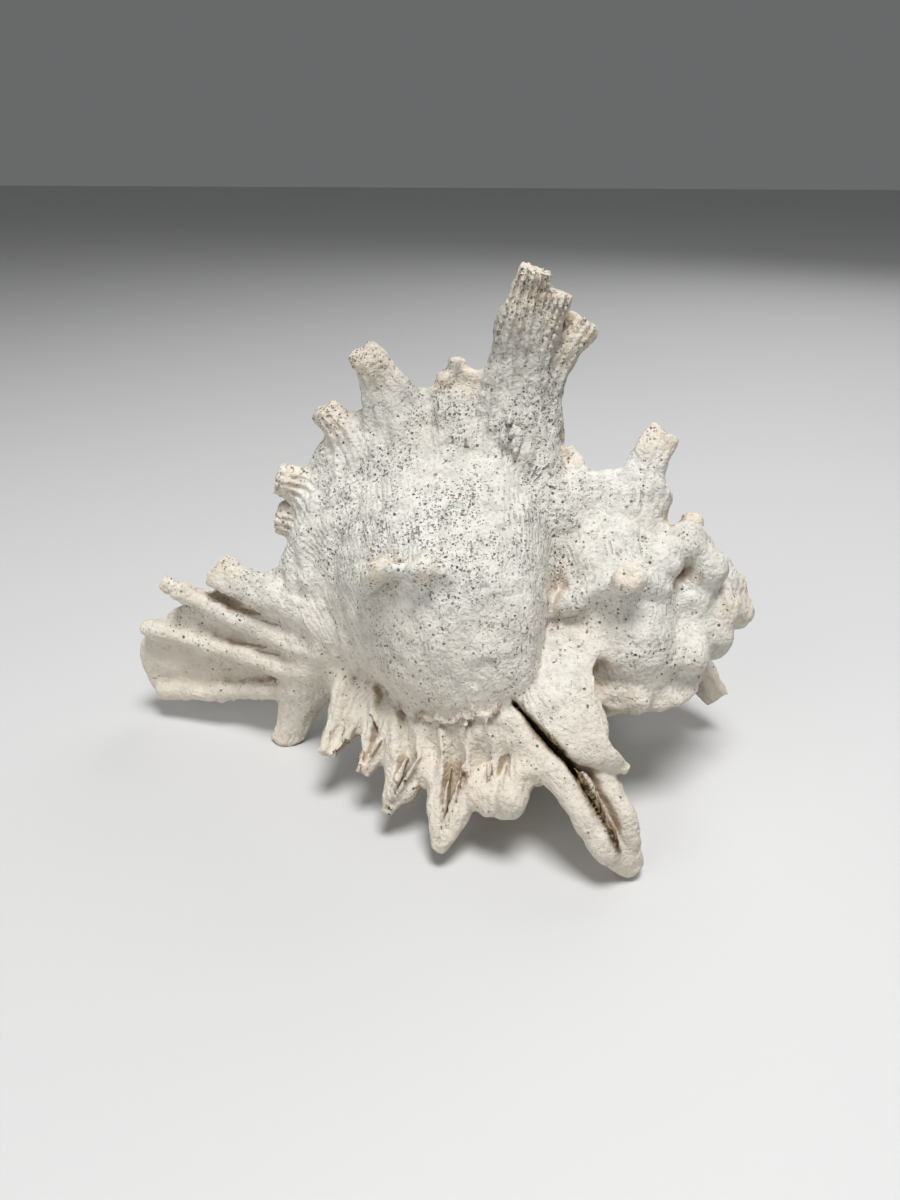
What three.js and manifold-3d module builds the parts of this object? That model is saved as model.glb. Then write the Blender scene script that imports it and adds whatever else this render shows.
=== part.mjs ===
// A weathered murex shell lying on its spines, seen from its back: one solid piece.
//
// The shell grew in stages. Each stage is a third of a turn of the whorl and ends in a varix, the
// flared and spiny lip that the animal built before it grew on. A younger stage is the older one
// turned by a third and enlarged, so the whole spire follows from one profile and one growth rate.
// The last stages carry their own lists of spines. A bladed siphonal canal closes the front end,
// and the aperture opens under the lip of the youngest stage.
//
// Shell coordinates: "along" runs down the coiling axis from the apex to the canal, "out" is the
// distance from that axis, and "turn" is the angle round it, 0 at the back (+Y) and 90 at the top.
// The part's frame has +Z up, the apex towards +X and the origin under the middle of the shell.

import * as THREE from "three";
import { mergeVertices } from "three/addons/utils/BufferGeometryUtils.js";
import Module from "manifold-3d";

const wasm = await Module();
wasm.setup();

// Driving dimensions, in millimetres and degrees.
const APEX = new THREE.Vector3(57.14, 3.82, 34.4); // so that the origin is under the middle of the shell
const AXIS_TILT = 8; // the apex end is raised
const WHORL_GROWTH = 1.65; // enlargement in one full turn
const STAGE_TURN = 122; // from one varix to the next
const STAGES = 10;
const LIP_TURN = 76; // where the youngest varix stands

// Outline of the whorl, [along, out] at the size of the lip, from inside the suture to inside the
// canal. The last turn has a flat ramp above its shoulder; the spire before it is more sloping.
const BODY_PROFILE = [
  [31, 12], [34, 19], [35.5, 26], [39, 30.5], [47, 32.5], [57, 32.5],
  [66, 29.5], [73, 24], [80, 15.5], [86, 9.5], [92, 5],
];
const SPIRE_PROFILE = [
  [20, 12], [22.5, 20], [27, 28], [33, 33.5], [40, 34.8], [50, 33],
  [58, 28], [66, 22], [73, 15], [80, 9], [86, 4],
];
const SPIRE_FROM = 120; // ages between which one profile turns into the other
const SPIRE_WHOLLY = 330;
const APEX_SINK = 3; // the eroded apex stands this far ahead of the cone that the coil follows
const WHORL_CORE = 56; // a point on the axis from which the whole outline can be seen
const WHORL_END = 95; // where the outline meets the axis

// A varix rises over its last degrees of growth; a low node stands halfway to the one before.
// Places across the whorl are shares of its outline, 0 at the suture and 1 at the canal.
const VARIX_HEIGHT = 9.5;
const VARIX_WIDTH = 27;
const VARIX_WORN = 0.45; // share of the height lost on the oldest whorls
const VARIX_LEAN = 8; // the crest leans back over the older shell
const VARIX_RISES = [0.1, 0.24];
const VARIX_FADES = [0.6, 0.84];
const NODE_HEIGHT = 5;
const NODE_TURN = 65;
const NODE_SPREAD = 8;
const NODE_PLACE = 0.42;
const NODE_LENGTH = 0.085;
const EMERGENCE = 6; // the whorl comes out of the older lip this far from that lip's upper end

// The columella, a pillar round the axis that the whorls wind on: [along, radius].
const COLUMELLA = [[1, 2.5], [6, 6], [9, 10.5], [14, 12], [30, 11], [55, 10.5], [76, 11]];

// Sections of the siphonal canal: [along, centre height across the axis, half depth, half height].
const CANAL_SECTIONS = [
  [46, 0, 11, 11], [56, 0, 14, 14], [64, 0, 14.5, 14.8], [70, 0, 13.8, 14.6], [78, -2, 10.2, 13],
  [86, -2.8, 6.4, 11.4], [95, -3.8, 4.4, 10.3], [104, -5, 3.5, 9], [112, -6.4, 2.9, 7.7], [116.5, -7.2, 2.2, 6.6],
];

// Spines: root station along the axis, tip [along, out, turn], half width along the varix at root
// and tip, and half thickness at root and tip.
const LIP_SPINES = [
  { root: 39, tip: [32, 58.5, 88], width: [11, 3.5], depth: [6, 2.8] },
  { root: 37.5, tip: [28.5, 53.5, 85], width: [7, 2.3], depth: [5, 2.4] },
  { root: 36.5, tip: [25.5, 49, 81], width: [7, 2.6], depth: [5, 2.2] },
  { root: 47.5, tip: [46.5, 46.6, 86], width: [13, 1.8], depth: [5, 1.8] },
  { root: 57, tip: [61.5, 49.2, 88], width: [12, 2.8], depth: [5, 2.2] },
  { root: 66, tip: [70, 39.8, 86], width: [10, 2.7], depth: [5, 2.3] },
  { root: 73, tip: [80, 28.5, 86], width: [4.5, 2], depth: [4, 2] },
  { root: 77, tip: [81.5, 21, 84], width: [4.5, 2], depth: [4, 2] },
];
const FRONT_SPINES = [
  { root: 35, tip: [23, 46, 222], width: [7, 2.2], depth: [5, 1.8] },
  { root: 30.5, tip: [23, 33.5, 206], width: [8.5, 1.6], depth: [4, 1.6] },
  { root: 29, tip: [26.5, 41, 219], width: [6, 1.4], depth: [4, 1.4] },
  { root: 42, tip: [42.5, 37.3, 209], width: [9, 2.6], depth: [5, 2.2] },
  { root: 49.3, tip: [53.5, 43.5, 212], width: [11, 1.6], depth: [6, 1.6] },
  { root: 57, tip: [62.5, 37.5, 212], width: [9, 1.7], depth: [5.5, 1.7] },
  { root: 63, tip: [67, 30.3, 211], width: [7.5, 2.1], depth: [5, 2] },
  { root: 69, tip: [73.5, 26.5, 211], width: [6.5, 2.3], depth: [5, 2] },
];
const UNDER_SPINES = [
  { root: 27, tip: [20, 43, 312], width: [7, 2.2], depth: [5, 1.8] },
  { root: 36, tip: [35, 33, 322], width: [5, 1.8], depth: [4.5, 1.8] },
  { root: 43, tip: [45, 36, 322], width: [5, 1.8], depth: [4.5, 1.8] },
  { root: 51, tip: [55, 30, 320], width: [4, 1.6], depth: [3.5, 1.6] },
];
const SPIRE_SPINES = [
  { stage: 3, root: 18.5, tip: [13.5, 30, 84], width: [5.5, 2.6], depth: [4.5, 2] },
  { stage: 3, root: 27, tip: [29, 29.5, 84], width: [4.5, 1.4], depth: [4, 1.4] },
  { stage: 4, root: 21, tip: [21, 21, 205], width: [4.5, 2.4], depth: [4, 2] },
  { stage: 4, root: 26, tip: [25, 20.5, 205], width: [4.5, 2.4], depth: [4, 2] },
  { stage: 5, root: 14.5, tip: [5, 26, 288], width: [5, 2.6], depth: [4, 1.8] },
  { stage: 6, root: 11, tip: [9.5, 14.5, 84], width: [3.5, 2], depth: [3, 1.8] },
  { stage: 9, root: 5, tip: [3.5, 6.5, 84], width: [2.5, 1.6], depth: [2.5, 1.6] },
];

// Knobs of the worn apex: place [along, shift to the back, shift up] and half thickness.
const APEX_KNOBS = [
  { place: [2.2, -1.5, 3], radius: 2.3 },
  { place: [1.6, -3, -0.5], radius: 2.5 },
  { place: [2.2, -0.5, -3], radius: 2.4 },
  { place: [1.8, 2.5, 0.5], radius: 2.4 },
];

// Fronds of the canal: root and tip as [along, shift to the back, shift up], half thickness at
// root and tip.
const CANAL_FRONDS = [
  { root: [76, -6, 4], tip: [95, -2, 14], radius: [4.5, 2.1] },
  { root: [80, -5.5, -1], tip: [104.5, -2, 9.8], radius: [4.5, 2] },
  { root: [84, -4.5, -5], tip: [113.6, -2, 2.4], radius: [4, 1.7] },
  { root: [84, -4, -8], tip: [114.6, -1.5, -12.2], radius: [3.5, 1.6] },
  { root: [80, -4, -6], tip: [88.5, -5.7, -21.5], radius: [6, 2.6] },
  { root: [82, 5, -2], tip: [101, 8.6, 6], radius: [4.5, 1.8] },
  { root: [88, 2, -1], tip: [109, 3.6, 7], radius: [4, 1.7] },
];

// The aperture: an oval cut back along the whorl between two ages, narrowing by a share as it goes.
const APERTURE = { along: 56, out: 18.5, halfLength: 15, halfWidth: 10, from: -14, to: 130, narrowing: 0.35 };

const DEGREE = Math.PI / 180;
const TABLE_REACH = 400; // side of the block below the resting plane

// The coiling axis as three directions: towards the canal, to the back, and up across the axis.
const DOWN_AXIS = new THREE.Vector3(-Math.cos(AXIS_TILT * DEGREE), 0, -Math.sin(AXIS_TILT * DEGREE));
const TO_BACK = new THREE.Vector3(0, 1, 0);
const UP_ACROSS = new THREE.Vector3(-Math.sin(AXIS_TILT * DEGREE), 0, Math.cos(AXIS_TILT * DEGREE));

// A point from its distance along the axis and its shifts to the back and up.
function atShift(along, back, up) {
  return APEX.clone()
    .addScaledVector(DOWN_AXIS, along)
    .addScaledVector(TO_BACK, back)
    .addScaledVector(UP_ACROSS, up);
}

// A point from shell coordinates.
function at(along, out, turn) {
  return atShift(along, out * Math.cos(turn * DEGREE), out * Math.sin(turn * DEGREE));
}

// Size of the shell when the growing edge was `age` degrees of turn before the lip.
function sizeAt(age) {
  return WHORL_GROWTH ** (-age / 360);
}

// Distance along the axis, at an age, of a station given at the size of the lip.
function alongAt(station, age) {
  return station * sizeAt(age) - APEX_SINK * THREE.MathUtils.smoothstep(age, 300, 600);
}

// A closed solid from its points and triangles, turned to face outwards.
function solidOf(points, triangles) {
  const geometry = new THREE.BufferGeometry().setFromPoints(points);
  geometry.setIndex(triangles);
  const merged = mergeVertices(geometry, 1e-4);
  const facing = (triVerts) =>
    new wasm.Manifold(
      new wasm.Mesh({ numProp: 3, vertProperties: merged.attributes.position.array, triVerts }));
  const corners = new Uint32Array(merged.index.array);
  const solid = facing(corners);
  return solid.volume() > 0 ? solid : facing(corners.reverse());
}

// A closed loft through rings of equally many points, with a point at each end.
function loft(rings, first, last) {
  const sides = rings[0].length;
  const points = [first, ...rings.flat(), last];
  const end = points.length - 1;
  const triangles = [];
  for (let j = 0; j < sides; j++) {
    const k = (j + 1) % sides;
    triangles.push(0, 1 + k, 1 + j);
    for (let i = 0; i < rings.length - 1; i++) {
      const a = 1 + i * sides;
      const b = a + sides;
      triangles.push(a + j, a + k, b + k, a + j, b + k, b + j);
    }
    const tail = end - sides;
    triangles.push(end, tail + j, tail + k);
  }
  return solidOf(points, triangles);
}

// The whorl's outline at an age, as evenly spaced points with their outward normals, at the size of the lip.
function whorlOutline(age, count) {
  const share = THREE.MathUtils.smoothstep(age, SPIRE_FROM, SPIRE_WHOLLY);
  const curve = new THREE.SplineCurve(
    BODY_PROFILE.map((point, i) =>
      new THREE.Vector2(...point).lerp(new THREE.Vector2(...SPIRE_PROFILE[i]), share)),
  );
  return Array.from({ length: count }, (_, i) => {
    const u = i / (count - 1);
    const tangent = curve.getTangentAt(u);
    return { u, point: curve.getPointAt(u), normal: new THREE.Vector2(-tangent.y, tangent.x) };
  });
}

// How much of the varix stands at a place of the stage, from 0 to 1.
function varixShare(u, sinceVarix) {
  const { smoothstep } = THREE.MathUtils;
  const ridge = smoothstep(VARIX_WIDTH - sinceVarix, 0, VARIX_WIDTH);
  return ridge * smoothstep(u, ...VARIX_RISES) * (1 - smoothstep(u, ...VARIX_FADES));
}

// How much of the node stands at a place of the stage, from 0 to 1.
function nodeShare(u, sinceVarix) {
  const round = (sinceVarix - NODE_TURN) / NODE_SPREAD;
  const across = (u - NODE_PLACE) / NODE_LENGTH;
  return Math.exp(-(round ** 2) - across ** 2);
}

// A point of the shell's surface at the size of the lip, with the varix and the node on the whorl.
function surfacePoint({ u, point, normal }, age, sinceVarix) {
  const worn = 1 - VARIX_WORN * THREE.MathUtils.smoothstep(age, 400, 600);
  const varix = VARIX_HEIGHT * worn * varixShare(u, sinceVarix);
  const height = varix + NODE_HEIGHT * nodeShare(u, sinceVarix);
  const drawnIn = EMERGENCE * THREE.MathUtils.smoothstep(sinceVarix, 20, STAGE_TURN);
  const shoulder = 1 - THREE.MathUtils.smoothstep(u, 0.15, 0.5);
  return point.clone().addScaledVector(normal, height).add(new THREE.Vector2(drawnIn * shoulder, 0));
}

// One growth stage: an orange-segment wedge round the axis, from its varix back to the one before.
function growthStage(stage, columns, count) {
  const OVERLAP = 14; // it reaches under the older stage, past the lean of its varix
  const start = stage * STAGE_TURN;
  const middle = start + STAGE_TURN / 2;
  const first = whorlOutline(middle, count)[0].point.x;
  const points = [first, WHORL_CORE, WHORL_END].map((along) => at(alongAt(along, middle), 0, 0));
  const [TOP, CORE, END] = [0, 1, 2];
  for (let i = 0; i <= columns; i++) {
    const sinceVarix = ((STAGE_TURN + OVERLAP) * i) / columns;
    const age = start + sinceVarix;
    for (const place of whorlOutline(age, count)) {
      const { x, y } = surfacePoint(place, age, sinceVarix);
      const lean = VARIX_LEAN * varixShare(place.u, sinceVarix);
      points.push(at(alongAt(x, age), y * sizeAt(age), LIP_TURN + age + lean));
    }
  }
  const id = (i, j) => 3 + i * count + j;
  const triangles = [];
  for (let i = 0; i < columns; i++) {
    triangles.push(TOP, id(i, 0), id(i + 1, 0), END, id(i + 1, count - 1), id(i, count - 1));
    for (let j = 0; j < count - 1; j++) {
      triangles.push(id(i, j), id(i, j + 1), id(i + 1, j + 1), id(i, j), id(i + 1, j + 1), id(i + 1, j));
    }
  }
  for (const [i, flip] of [[0, true], [columns, false]]) {
    const rim = [TOP, ...Array.from({ length: count }, (_, j) => id(i, j)), END];
    for (let j = 0; j < rim.length - 1; j++) {
      triangles.push(CORE, ...(flip ? [rim[j + 1], rim[j]] : [rim[j], rim[j + 1]]));
    }
  }
  return solidOf(points, triangles);
}

// A tapering spine along a bent line, with an oval section and a blunt tip.
function taper(root, bend, tip, across, width, depth) {
  const RINGS = 5;
  const SIDES = 8;
  const FLARE = 2; // how quickly the broad root narrows
  const BLUNT = 0.6; // the tip is this much of its half width ahead of the last ring
  const line = new THREE.QuadraticBezierCurve3(root, bend, tip);
  const rings = [];
  for (let i = 0; i < RINGS; i++) {
    const u = i / (RINGS - 1);
    const centre = line.getPoint(u);
    const forward = line.getTangent(u);
    const side = across.clone().addScaledVector(forward, -across.dot(forward)).normalize();
    const other = new THREE.Vector3().crossVectors(forward, side);
    const flare = (1 - u) ** FLARE;
    const halfWidth = THREE.MathUtils.lerp(width[1], width[0], flare);
    const halfDepth = THREE.MathUtils.lerp(depth[1], depth[0], flare);
    rings.push(
      Array.from({ length: SIDES }, (_, j) => {
        const angle = (j / SIDES) * 2 * Math.PI;
        return centre
          .clone()
          .addScaledVector(side, halfWidth * Math.cos(angle))
          .addScaledVector(other, halfDepth * Math.sin(angle));
      }),
    );
  }
  const end = line.getTangent(1).multiplyScalar(BLUNT * width[1]).add(tip);
  return loft(rings, root, end);
}

// A spine of the varix that ends the given stage.
function varixSpine(stage, { root, tip, width, depth }) {
  const SUNK = 0.7; // the root starts at this share of the whorl's radius
  const SET_BACK = 20; // and this many degrees behind the lip, so it stays inside the shell
  const turn = LIP_TURN + stage * STAGE_TURN;
  const age = stage * STAGE_TURN;
  const off = ({ point }) => Math.abs(alongAt(point.x, age) - root);
  const nearest = whorlOutline(age, 60).reduce((best, next) => (off(next) < off(best) ? next : best));
  const surface = nearest.point.y * sizeAt(age);
  const start = at(root, surface * SUNK, turn + SET_BACK);
  const bend = at(root, (surface + tip[1]) / 2, turn + VARIX_LEAN);
  return taper(start, bend, at(...tip), DOWN_AXIS, width, depth);
}

// A frond of the siphonal canal.
function canalFrond({ root, tip, radius }) {
  const start = atShift(...root);
  const end = atShift(...tip);
  const bend = start.clone().lerp(end, 0.5);
  return taper(start, bend, end, TO_BACK, radius, radius);
}

// The siphonal canal, a flattened blade.
function siphonalCanal() {
  const SIDES = 14;
  const rings = CANAL_SECTIONS.map(([along, up, halfDepth, halfHeight]) =>
    Array.from({ length: SIDES }, (_, j) => {
      const angle = (-j / SIDES) * 2 * Math.PI;
      return atShift(along, halfDepth * Math.cos(angle), up + halfHeight * Math.sin(angle));
    }),
  );
  const centre = ([along, up]) => atShift(along, 0, up);
  return loft(rings, centre(CANAL_SECTIONS[0]), centre(CANAL_SECTIONS.at(-1)));
}

// The columella.
function columella() {
  const SIDES = 12;
  const rings = COLUMELLA.map(([along, radius]) =>
    Array.from({ length: SIDES }, (_, j) => at(along, radius, (-j / SIDES) * 360)));
  return loft(rings, at(COLUMELLA[0][0], 0, 0), at(COLUMELLA.at(-1)[0], 0, 0));
}

// A worn knob at the apex.
function apexKnob({ place, radius }) {
  const ball = new THREE.IcosahedronGeometry(radius, 1);
  ball.deleteAttribute("normal");
  ball.deleteAttribute("uv");
  const merged = mergeVertices(ball);
  const centre = atShift(...place);
  const points = Array.from({ length: merged.attributes.position.count }, (_, i) =>
    new THREE.Vector3().fromBufferAttribute(merged.attributes.position, i).add(centre));
  return solidOf(points, Array.from(merged.index.array));
}

// The hollow of the aperture, from just outside the lip back into the whorl.
function apertureHollow() {
  const SIDES = 12;
  const STEPS = 9;
  const rings = [];
  for (let i = 0; i <= STEPS; i++) {
    const share = i / STEPS;
    const age = THREE.MathUtils.lerp(APERTURE.from, APERTURE.to, share);
    const size = sizeAt(age) * (1 - APERTURE.narrowing * share ** 2);
    const centre = sizeAt(age);
    rings.push(
      Array.from({ length: SIDES }, (_, j) => {
        const angle = (j / SIDES) * 2 * Math.PI;
        return at(
          APERTURE.along * centre + APERTURE.halfLength * size * Math.cos(angle),
          APERTURE.out * centre + APERTURE.halfWidth * size * Math.sin(angle),
          LIP_TURN + age,
        );
      }),
    );
  }
  const middle = (ring) => ring.reduce((sum, p) => sum.add(p), new THREE.Vector3()).divideScalar(ring.length);
  return loft(rings, middle(rings[0]), middle(rings.at(-1)));
}

// The block under the resting plane, which levels the points that the shell stands on.
function tableBlock() {
  const geometry = new THREE.BoxGeometry(TABLE_REACH, TABLE_REACH, TABLE_REACH);
  geometry.translate(0, 0, -TABLE_REACH / 2);
  geometry.deleteAttribute("normal");
  geometry.deleteAttribute("uv");
  const merged = mergeVertices(geometry);
  return solidOf(
    Array.from({ length: merged.attributes.position.count }, (_, i) =>
      new THREE.Vector3().fromBufferAttribute(merged.attributes.position, i)),
    Array.from(merged.index.array),
  );
}

// Columns round the axis and points across the whorl: the young, large stages have more.
function fineness(stage) {
  if (stage < 3) return [15, 20];
  if (stage < 6) return [10, 14];
  return [8, 11];
}

function murexShell() {
  const stages = Array.from({ length: STAGES }, (_, stage) => growthStage(stage, ...fineness(stage)));
  const spines = [
    ...LIP_SPINES.map((spine) => varixSpine(0, spine)),
    ...FRONT_SPINES.map((spine) => varixSpine(1, spine)),
    ...UNDER_SPINES.map((spine) => varixSpine(2, spine)),
    ...SPIRE_SPINES.map((spine) => varixSpine(spine.stage, spine)),
    ...CANAL_FRONDS.map(canalFrond),
    ...APEX_KNOBS.map(apexKnob),
  ];
  const grown = wasm.Manifold.union([...stages, columella(), siphonalCanal(), ...spines]);
  return grown.subtract(apertureHollow()).subtract(tableBlock());
}

// The solid as a geometry that three.js can draw.
function geometryOf(solid) {
  const { numProp, vertProperties, triVerts } = solid.getMesh();
  const geometry = new THREE.BufferGeometry();
  geometry.setAttribute("position", new THREE.BufferAttribute(vertProperties, numProp));
  geometry.setIndex(new THREE.BufferAttribute(triVerts, 1));
  geometry.computeVertexNormals();
  return geometry;
}

const chalk = new THREE.MeshStandardMaterial({ color: 0xd9d5cb, roughness: 0.85, metalness: 0 });
const shell = new THREE.Mesh(geometryOf(murexShell()), chalk);
shell.name = "shell";

const part = new THREE.Group();
part.add(shell);

export default part;
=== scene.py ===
"""A weathered murex shell lying on its spines on a pale floor, seen from its back.

The shell is grown as a distance field in millimetres: stages of the whorl, each ending in a varix,
then the spines, the siphonal canal and the hollow of the aperture. The field's zero surface becomes
the mesh, fine relief is laid on it along its normals, and the same field tells the material where
the tips, recesses and slots are.

Shell coordinates: "along" runs down the coiling axis from the apex to the canal, "out" is the
distance from that axis, and "turn" is the angle round it, 0 at the back and 90 at the top.
"""

import math

import bpy
import numpy as np
import openvdb
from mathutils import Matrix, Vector


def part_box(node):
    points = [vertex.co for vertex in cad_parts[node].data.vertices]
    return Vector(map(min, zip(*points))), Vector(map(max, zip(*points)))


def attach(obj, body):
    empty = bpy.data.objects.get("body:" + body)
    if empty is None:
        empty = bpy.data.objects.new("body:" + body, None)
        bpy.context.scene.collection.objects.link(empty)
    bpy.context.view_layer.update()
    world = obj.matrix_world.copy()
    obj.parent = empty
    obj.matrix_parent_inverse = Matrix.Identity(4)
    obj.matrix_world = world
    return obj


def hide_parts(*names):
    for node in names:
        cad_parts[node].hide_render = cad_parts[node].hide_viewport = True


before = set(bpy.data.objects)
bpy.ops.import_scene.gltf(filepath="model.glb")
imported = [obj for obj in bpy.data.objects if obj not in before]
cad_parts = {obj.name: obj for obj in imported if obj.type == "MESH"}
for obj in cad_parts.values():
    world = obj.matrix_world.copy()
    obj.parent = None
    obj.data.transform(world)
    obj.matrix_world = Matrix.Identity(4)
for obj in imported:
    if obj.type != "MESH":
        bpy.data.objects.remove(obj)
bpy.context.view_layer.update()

MM = 0.001
VOXEL = 0.42  # spacing of the field, mm
BLOCK = 8  # voxels along a side of the blocks that are tried first
BLOCKS_AT_ONCE = 1000
HALF_DIAGONAL = 0.87  # of a cube, as a share of its side
BLEND_REACH = 1.6  # by which a blended field may differ from a true distance, mm
BAND = 3.0  # the field is kept up to this distance from the surface, mm
FAR = 50
TINY = 1e-6
TRIANGLES = 188000
CURVE_SAMPLES = 40  # between two points of a curve

# The coil.
APEX = np.array([57.14, 3.82, 34.4])
AXIS_TILT = math.radians(8)
WHORL_GROWTH = 1.65
STAGE_TURN = 122
STAGES = 10
OVERLAP = 14
LIP_TURN = 76
AHEAD = 110  # degrees before a lip that count as ahead of it
APEX_SINK = 3
SINK_AGES = (300, 600)
WHORL_END = 95
BODY_PROFILE = [
    (31, 12), (34, 19), (35.5, 26), (39, 30.5), (47, 32.5), (57, 32.5),
    (66, 29), (73, 22.6), (80, 14.2), (86, 9), (92, 5),
]
SPIRE_PROFILE = [
    (20, 12), (22.5, 20), (27, 28), (33, 33.5), (40, 34.8), (50, 33),
    (58, 28), (66, 22), (73, 15), (80, 9), (86, 4),
]
SPIRE_AGES = (120, 330)
PROFILE_LENGTH = 95  # of the outline, at the size of the lip
STAGE_REACH = (106, 60)  # along and out, at the size of the lip
STAGE_SPARE = 4
COLUMELLA = [(1, 2.5), (6, 6), (9, 10.5), (14, 12), (30, 11), (55, 10.5), (76, 11)]
COLUMELLA_SPARE = 0.1

# Varices and nodes.
VARIX_HEIGHT = 9.5
VARIX_WIDTH = 27
VARIX_WORN = 0.45
WORN_AGES = (400, 600)
VARIX_LEAN = 8
VARIX_RISES = (0.1, 0.24)
VARIX_FADES = (0.6, 0.84)
LIP_BLEND = 1
RIBBED_STAGES = 3
RIB_DEPTH = 0.6  # share of the varix that is missing between the ribs behind its spines
RIB_WIDTH = 2.2
RIB_TURNS = (1, 9)
FRONT_STAGE = 1  # the one whose varix is at the front
FOOT_HEIGHT = 6  # over which the front varix rises from the scalloped lip
PLEAT_DEPTH = 5.4  # degrees
PLEAT_PITCH = 4.4
PLEAT_PHASE = 0.4
PLEAT_MEAN = 0.6
PLEAT_RISES = (0.5, 4)
NODE_HEIGHT = 2.2
NODE_TURN = 65
NODE_SPREAD = 7
NODE_PLACE = 0.42
NODE_LENGTH = 0.1
EMERGENCE = 6  # by which the shoulder is drawn towards the canal as a stage grows old
EMERGENCE_TURN = 20
EMERGENCE_SHARES = (0.15, 0.5)

# Spines: stage, root along the axis, tip (along, out, turn), half width and half thickness at root
# and tip, depth of the groove on the growing side, and height of the flutes.
SPINES = [
    (0, 39, (32.2, 57.9, 88), (11, 3.1), (5, 2.6), 0.25, 0.5),
    (0, 37.5, (28.8, 54.2, 86), (7, 2.3), (4.5, 2.3), 0.2, 0.45),
    (0, 36.5, (26, 48.8, 82), (7, 2.8), (4.5, 2.2), 0.2, 0.3),
    (0, 47.5, (46.5, 45.8, 86), (22, 1.5), (6, 1.6), 0.2, 0.15),
    (0, 49, (48.6, 43.2, 86), (10, 1.7), (5, 1.6), 0.1, 0.1),
    (0, 46, (44.4, 43.4, 86), (10, 1.7), (5, 1.6), 0.1, 0.1),
    (0, 57, (61.5, 49, 88), (16, 2.9), (6, 2.3), 0.3, 0.2),
    (0, 66, (70, 39.5, 86), (14, 3), (6, 2.5), 0.35, 0.3),
    (0, 73, (80, 28.4, 86), (10, 3), (6, 2.5), 0.4, 0.35),
    (0, 77, (81.6, 20.8, 84), (8, 3.2), (5, 2.4), 0.4, 0.35),
    (1, 42.5, (43, 37.5, 209), (9, 3), (5, 2.4), 0.4, 0.25),
    (1, 49.5, (53.5, 43.5, 212), (12, 1.1), (6.5, 1.3), 0.78, 0.25),
    (1, 57, (62.5, 37.5, 212), (10, 1.2), (6, 1.3), 0.75, 0.25),
    (1, 63, (67, 30.5, 211), (8, 1.6), (5, 1.6), 0.75, 0.3),
    (1, 69, (73.5, 26.5, 211), (7, 2), (5, 1.8), 0.65, 0.3),
    (2, 27, (20, 43, 312), (7, 2.2), (5, 1.8), 0.4, 0.2),
    (2, 36, (35, 33, 322), (6, 1.8), (4.5, 1.8), 0.4, 0.2),
    (2, 43, (45, 36, 322), (6, 1.8), (4.5, 1.8), 0.4, 0.2),
    (2, 51, (55, 30, 320), (5, 1.6), (3.5, 1.6), 0.3, 0.2),
    (3, 18.5, (13.5, 29.6, 84), (6, 2.9), (4.5, 2), 0.4, 0.25),
    (3, 27, (29, 29, 84), (5, 1.2), (4, 1.3), 0.2, 0.1),
    (4, 21, (21, 21, 205), (4.5, 2.4), (4, 2), 0.1, 0.1),
    (4, 26, (25, 20.5, 205), (4.5, 2.4), (4, 2), 0.1, 0.1),
    (5, 14.5, (5, 26, 288), (5, 2.8), (4, 1.8), 0.3, 0.25),
    (6, 11, (9.5, 14.5, 84), (3.5, 2), (3, 1.8), 0.1, 0.1),
    (9, 5, (3.5, 6.5, 84), (2.5, 1.6), (2.5, 1.6), 0, 0),
]
SPINE_STEPS = 9
SPINE_BLEND = 1.8
SPINE_FLARE = 1.5
FRONT_FLARE = 1
ROOT_SUNK = 0.7  # share of the whorl's radius at which a spine starts
ROOT_TURN = 20  # degrees behind the lip at which it starts
TIP_SHARES = (0.55, 1)  # of a limb's length, over which its stain comes in
TIP_DEPTH = 2

# Limbs: the rounded end and where it is worn off in half widths, flutes and groove in shares of them.
LIMB_STEPS = 14
LIMB_SPARE = 1
END_LENGTH = 1.1
END_CUT = 0.55
FLUTE_WAVES = 2.5
FLUTE_FACES = (0.1, 0.6)
GROOVE_WIDTH = 0.26

# Ridges and folds: points (along, out, turn), half widths along the axis, half thicknesses.
FLAP = ([(32.6, 16.5, 170), (32.4, 23, 179.5), (32.2, 27.4, 185.5), (28, 32.6, 195), (23.1, 33.6, 203)],
        [6.6, 6.2, 5.8, 3.6, 1.4], [1.5, 1.5, 1.4, 1.3, 1.1])
LEFT_FOLD = ([(42.5, 24, 195), (37, 30, 200), (30.9, 37.6, 205), (26.9, 43.6, 212), (23.6, 45.4, 220)],
             [5, 3.4, 2.5, 2.2, 1.9], [4, 3.2, 2.6, 2.3, 1.9])
RIGHT_FOLD = ([(29, 28, 202), (26.2, 34, 206), (23.2, 39.6, 210.5), (22.8, 44.3, 217.5)],
              [2.6, 1.9, 1.7, 1.6], [2, 2.2, 2.2, 1.8])
FOLD_FLOOR = ([(34, 24, 205), (29, 33, 210.5), (25, 41, 216), (23.2, 44.6, 220)],
              [5, 4, 2.8, 2], [4.5, 4, 3.2, 2.2])
FOLD_SLOT = ([(40.2, 25.2, 190), (35.2, 30.2, 195), (31.3, 34.4, 198), (28.4, 38.8, 202), (25.8, 43, 206.5),
              (24, 46, 212)], [0.2, 0.3, 0.5, 0.62, 0.6, 0.4], [3, 4.5, 5, 4, 2.8, 1.2])
SLOT_BLEND = 0.4
SLOT_SHADE_REACH = 0.4
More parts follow.
